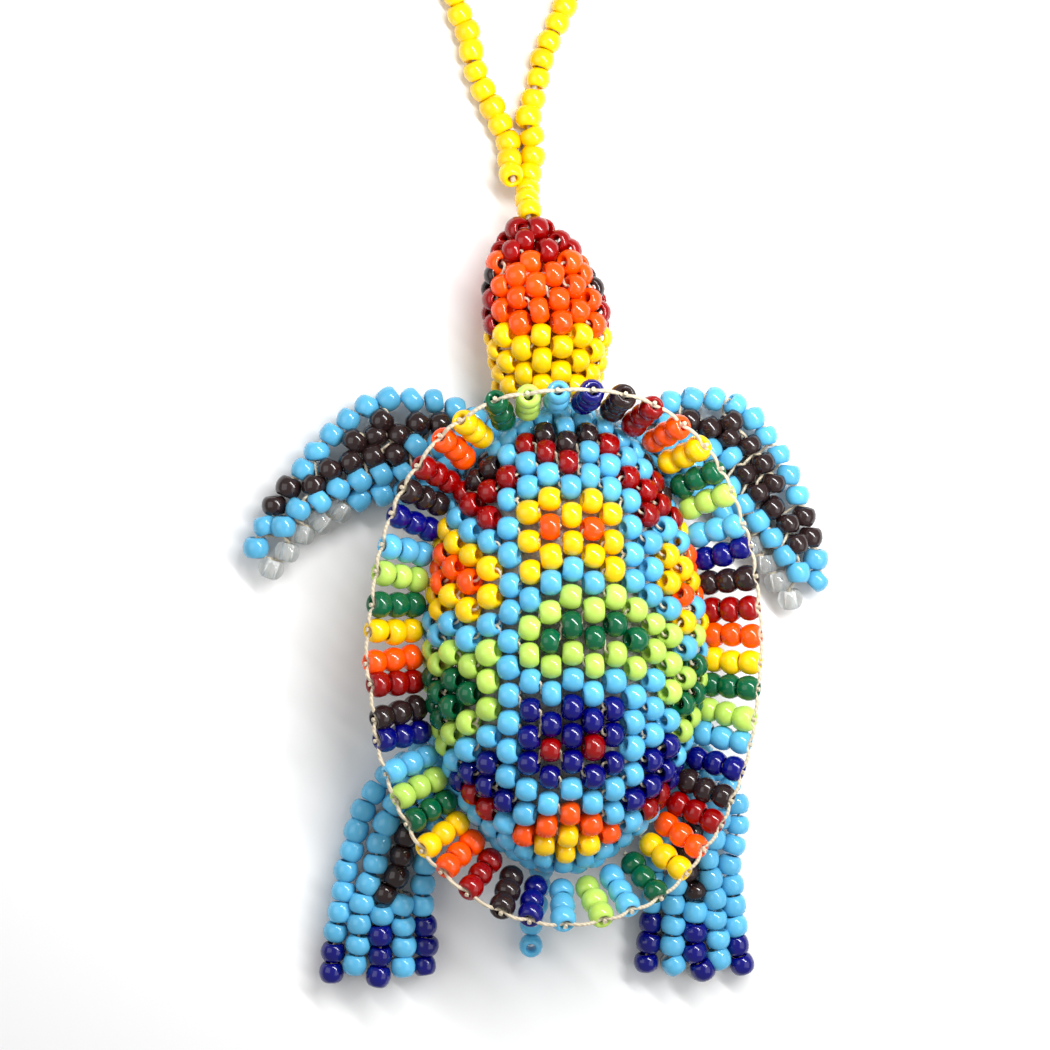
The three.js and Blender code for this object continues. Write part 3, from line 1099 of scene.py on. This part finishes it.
# The least half width and half thickness that the lines of beads are laid on, in mm.
LEAST_REACH = 0.4
LEAST_BULGE = 0.9
# How round the flipper's section is: 1 is an ellipse, and less is boxier.
SECTION_POWER = 0.7
# The far edge's line, and then the others from the first side.
LINES = range(-1, 6)
# A line's last bead stops this far from its root, in mm.
ROOT_ROOM = 0.4
# The flippers' stitches stand out a little instead of sinking in.
FLIPPER_STITCHES = {"reach": 1.7, "kept": 0.5, "sunk": -0.15}


class Flipper:
    """A flattened tube of beads through a flipper's stations."""

    def __init__(self, form, plan):
        edge, outward = form.outline(plan["seat"])
        side = -1 if plan["seat"] < 0.5 else 1
        root = edge + outward * FLEX_GAP + Vector((form.x, form.y, 0))
        tucked = root - outward * ROOT_TUCK
        knots = [
            Vector((root.x + side * out, root.y + back, LIMB_REST_HEIGHT + thick / 2))
            for out, back, _, thick in plan["stations"]
        ]
        knots.insert(0, Vector((tucked.x, tucked.y, knots[0].z)))
        girths = [Vector((half, thick / 2, 0)) for _, _, half, thick in plan["stations"]]
        girths.insert(0, girths[0])
        self.spine = smooth_route(knots, STATION_STEPS)
        self.girths = carried(girths, STATION_STEPS)
        self.side = side
        self.plan = plan

    def frame_at(self, k):
        """The spine's point, the way to the first line's side, and half sizes."""
        last = len(self.spine) - 1
        ahead = self.spine[min(last, k + RUN_STEPS)] - self.spine[max(0, k - RUN_STEPS)]
        ahead.z = 0
        ahead.normalize()
        lead = Vector((ahead.y, -ahead.x, 0)) * self.side * self.plan["first_side"]
        girth = self.girths[k]
        return self.spine[k], lead, girth.x, girth.y

    def line(self, j, layer):
        """One line of beads from root to tip: 0 along the first side, -1 along the far one.

        Its layer is 1 for the top, -1 for the underside and 0 for an edge.
        """
        r = sizes().bead_diameter / 2
        points = []
        for k in range(len(self.spine)):
            middle, lead, half_width, half_thick = self.frame_at(k)
            reach = max(LEAST_REACH, half_width - r + LIMB_PROUD)
            inner = max(0, round(2 * reach / self.plan["spacing"]) - 1)
            if j > inner:
                continue
            u = -reach if j < 0 else reach - j * 2 * reach / (inner + 1)
            height = math.sqrt(max(0.0, 1 - (u / reach) ** 2)) ** SECTION_POWER
            bulge = max(LEAST_BULGE, half_thick - r) * height
            z = max(middle.z - bulge, r) if layer < 0 else max(middle.z, r) + bulge * layer
            points.append(Vector((middle.x, middle.y, 0)) + lead * u + UP * z)
        return eased(points)

    def beads(self):
        s = sizes()
        pitch = self.plan["pitch"]
        turn = Matrix.Rotation(math.radians(self.plan["turn"]) * self.side, 3, "Z")
        made = []
        charts = self.plan["lines"]
        for j in LINES:
            for layer in (1, -1):
                if j < 1 and layer < 0:
                    continue
                line = self.line(j, layer if j > 0 else 0)
                if len(line) < 6:
                    continue
                lengths = lengths_along(line)
                chart = self.plan["far_line"] if j < 0 else charts[min(j, len(charts) - 1)]
                start = lengths[-1] - s.bead_length / 2 - (j % 2) * pitch / 2
                for i in range(int((start - ROOT_ROOM) / pitch) + 1):
                    at = start - i * pitch
                    middle = point_on_line(line, lengths, at)
                    ahead = point_on_line(line, lengths, min(lengths[-1], at + 0.5))
                    behind = point_on_line(line, lengths, max(0.0, at - 0.5))
                    letter = "c" if layer < 0 else chart[min(i, len(chart) - 1)]
                    made.append(Bead(middle, turn @ (ahead - behind), UP * layer, letter))
        return made


def carried(values, steps):
    """Values at the knots of a route, carried smoothly along it."""
    along = []
    for a, b in zip(values, values[1:]):
        for i in range(steps):
            share = i / steps
            along.append(a.lerp(b, share * share * (3 - 2 * share)))
    return [*along, values[-1]]


def eased(points, rounds=10):
    """Takes the steps out of a line, keeping its two ends."""
    line = list(points)
    for _ in range(rounds):
        line = [
            line[i] if i in (0, len(line) - 1) else (line[i - 1] + line[i] * 2 + line[i + 1]) / 4
            for i in range(len(line))
        ]
    return line


class TURTLE_OT_flippers(TurtleOperator):
    """Sew the four flippers, coloured above and clear below"""

    bl_idname = "turtle.flippers"
    bl_label = "Flippers"

    def execute(self, context):
        form = ShellForm()
        for name, plan in FLIPPERS.items():
            beads = Flipper(form, plan).beads()
            beads_by_colour(name + "_beads", beads, name, name + "_flipper")
            thread_curve(name + "_thread", stitches(beads, **FLIPPER_STITCHES), name)
        return {"FINISHED"}


# The head's form, as the CAD has it, and its girth by the share of the way to the nose.
HEAD_LENGTH = 15.1
HEAD_WIDTH = 11.9
HEAD_DEPTH = 8.8
HEAD_LEAN = 1.8
HEAD_LEAN_POWER = 2.5
HEAD_SECTIONS = ((0, 0.84), (0.14, 0.9), (0.34, 1), (0.6, 0.98), (0.8, 0.78), (0.93, 0.54), (1, 0.3))
NECK = Vector((-0.9, -19.1, 4.2))
HEAD_HEIGHT = 5.3
NECK_SHARE = 0.33
HEAD_COLUMNS = 16
# The head's rows are drawn tight together, to this share of a bead's width.
HEAD_ROW_PACKING = 0.92
# The first row, the last row that is started and the last bead, as shares of the length.
HEAD_FIRST_ROW = 0.05
HEAD_LAST_ROW = 0.97
HEAD_LAST_BEAD = 0.985
# Below this girth, towards the nose, the head has fewer columns and its rows lie closer.
NOSE_GIRTH = 0.78
NOSE_THINNING = 0.08
NOSE_PACKING = 0.9
LEAST_COLUMNS = 4
LEAST_HEAD_REACH = 0.9
# The face: where its colours end, in mm from the nose, and what counts as its side.
NOSE_END = 3.4
EYE_START = 4.4
EYE_END = 6.4
BROW_END = 9.4
CHEEK_END = 9.6
FACE_SIDE = 0.93
HEAD_STITCHES = {"reach": 1.7, "kept": 0.3}


def head_girth(along):
    for (a, low), (b, high) in zip(HEAD_SECTIONS, HEAD_SECTIONS[1:]):
        if along <= b:
            return low + (high - low) * (along - a) / (b - a)
    return HEAD_SECTIONS[-1][1]


def head_point(along, turn):
    """A point on the head's skin, one bead radius inside the CAD surface."""
    r = sizes().bead_diameter / 2
    girth = head_girth(along)
    height = NECK.z + (HEAD_HEIGHT - NECK.z) * min(1, along / NECK_SHARE)
    lean = HEAD_LEAN * along**HEAD_LEAN_POWER
    middle = Vector((NECK.x + lean, NECK.y - HEAD_LENGTH * along, height))
    wide = max(LEAST_HEAD_REACH, HEAD_WIDTH / 2 * girth - r)
    deep = max(LEAST_HEAD_REACH, HEAD_DEPTH / 2 * girth - r)
    return middle + Vector((math.sin(turn) * wide, 0, math.cos(turn) * deep))


def head_letter(distance, turn):
    """Red nose, orange brow and yellow nape, with brown eyes and red cheeks."""
    on_side = abs(math.sin(turn)) > FACE_SIDE
    if on_side and EYE_START < distance < EYE_END:
        return "b"
    if on_side and EYE_END <= distance < CHEEK_END:
        return "r"
    if distance < NOSE_END:
        return "r"
    return "o" if distance < BROW_END else "y"


class TURTLE_OT_head(TurtleOperator):
    """Sew the head as a tube of staggered bead columns, closed at the nose"""

    bl_idname = "turtle.head"
    bl_label = "Head"

    def execute(self, context):
        s = sizes()
        beads = []
        row_share = s.bead_diameter * HEAD_ROW_PACKING / HEAD_LENGTH
        along = HEAD_FIRST_ROW
        while along < HEAD_LAST_ROW:
            girth = head_girth(min(1, along + row_share / 4))
            fewer = 2 * round(HEAD_COLUMNS * (girth - NOSE_THINNING) / 2)
            columns = HEAD_COLUMNS if girth > NOSE_GIRTH else max(LEAST_COLUMNS, fewer)
            for k in range(columns):
                here = along + (k % 2) * row_share / 2
                if here > HEAD_LAST_BEAD:
                    continue
                turn = 2 * math.pi * (k + 0.5) / columns
                place = head_point(here, turn)
                beside = head_point(here, turn + 0.05) - head_point(here, turn - 0.05)
                outward = place - head_point(here, turn + math.pi)
                distance = (1 - here) * HEAD_LENGTH
                beads.append(Bead(place, beside, outward, head_letter(distance, turn)))
            along += row_share * (NOSE_PACKING if girth < NOSE_GIRTH else 1)
        tip = head_point(1.0, 0).lerp(head_point(1.0, math.pi), 0.5)
        beads.append(Bead(tip + Vector((0, 0.5, 0)), (0, 1, 0), UP, "r"))
        beads_by_colour("head_beads", beads, "head", "head")
        thread_curve("head_thread", stitches(beads, **HEAD_STITCHES), "head")
        return {"FINISHED"}


TAIL_BEADS = 3
# How steeply the tail's string climbs to the shell, and how far its bead is from the first
# and its sewn end from that bead, in bead lengths.
TAIL_CLIMB = 0.9
TAIL_ROOT_GAP = 0.6
TAIL_SEWN_GAP = 0.55
# The end bead's hole points nearly up, and it lies this far from the others, in bead radii.
TAIL_END_HOLE = Vector((0.25, 0.3, 1))
TAIL_END_GAP = 0.9


class TURTLE_OT_tail(TurtleOperator):
    """String the short tail, its end bead turned to show its hole"""

    bl_idname = "turtle.tail"
    bl_label = "Tail"

    def execute(self, context):
        s = sizes()
        low, high = (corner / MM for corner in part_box("tail"))
        r = s.bead_diameter / 2
        start = Vector((low.x + r, low.y, high.z - r))
        end = Vector((high.x - r, high.y, low.z + r))
        along = (end - start).normalized()
        beads = []
        for i in range(TAIL_BEADS):
            beads.append(Bead(start + along * s.bead_length * (i + 0.5), along, UP, "s"))
        # One more bead climbs to the shell's edge, where the string is sewn on.
        climb = Vector((-along.x, -along.y, TAIL_CLIMB)).normalized()
        root = start + climb * s.bead_length * TAIL_ROOT_GAP
        beads.append(Bead(root, climb, UP, "s"))
        last = start + along * (s.bead_length * TAIL_BEADS + r * TAIL_END_GAP)
        beads.append(Bead(last, TAIL_END_HOLE, along, "s"))
        beads_by_colour("tail_beads", beads, "tail", "tail")
        sewn = root + climb * s.bead_length * TAIL_SEWN_GAP
        thread_curve("tail_thread", [[sewn, root, start, start.lerp(last, 0.5), last]], "tail")
        return {"FINISHED"}


STEPS = (
    TURTLE_OT_stage,
    TURTLE_OT_hang_loop,
    TURTLE_OT_dome,
    TURTLE_OT_belly,
    TURTLE_OT_stuffing,
    TURTLE_OT_rim,
    TURTLE_OT_flippers,
    TURTLE_OT_head,
    TURTLE_OT_tail,
)


class TURTLE_PT_panel(bpy.types.Panel):
    """The steps in the order that they are made"""

    bl_idname = "TURTLE_PT_panel"
    bl_label = "Beaded turtle"
    bl_space_type = "VIEW_3D"
    bl_region_type = "UI"
    bl_category = "Turtle"

    def draw(self, context):
        for step in STEPS:
            self.layout.operator(step.bl_idname)
        for group in (context.scene.turtle_sizes, context.scene.turtle_colours):
            box = self.layout.box()
            for name in group.__annotations__:
                box.prop(group, name)


CLASSES = (TurtleSizes, TurtleColours, *STEPS, TURTLE_PT_panel)


def register():
    for cls in CLASSES:
        bpy.utils.register_class(cls)
    bpy.types.Scene.turtle_sizes = bpy.props.PointerProperty(type=TurtleSizes)
    bpy.types.Scene.turtle_colours = bpy.props.PointerProperty(type=TurtleColours)


def unregister():
    del bpy.types.Scene.turtle_colours
    del bpy.types.Scene.turtle_sizes
    for cls in reversed(CLASSES):
        bpy.utils.unregister_class(cls)


def main():
    register()
    for step in STEPS:
        family, name = step.bl_idname.split(".")
        getattr(getattr(bpy.ops, family), name)()


if __name__ == "__main__":
    main()
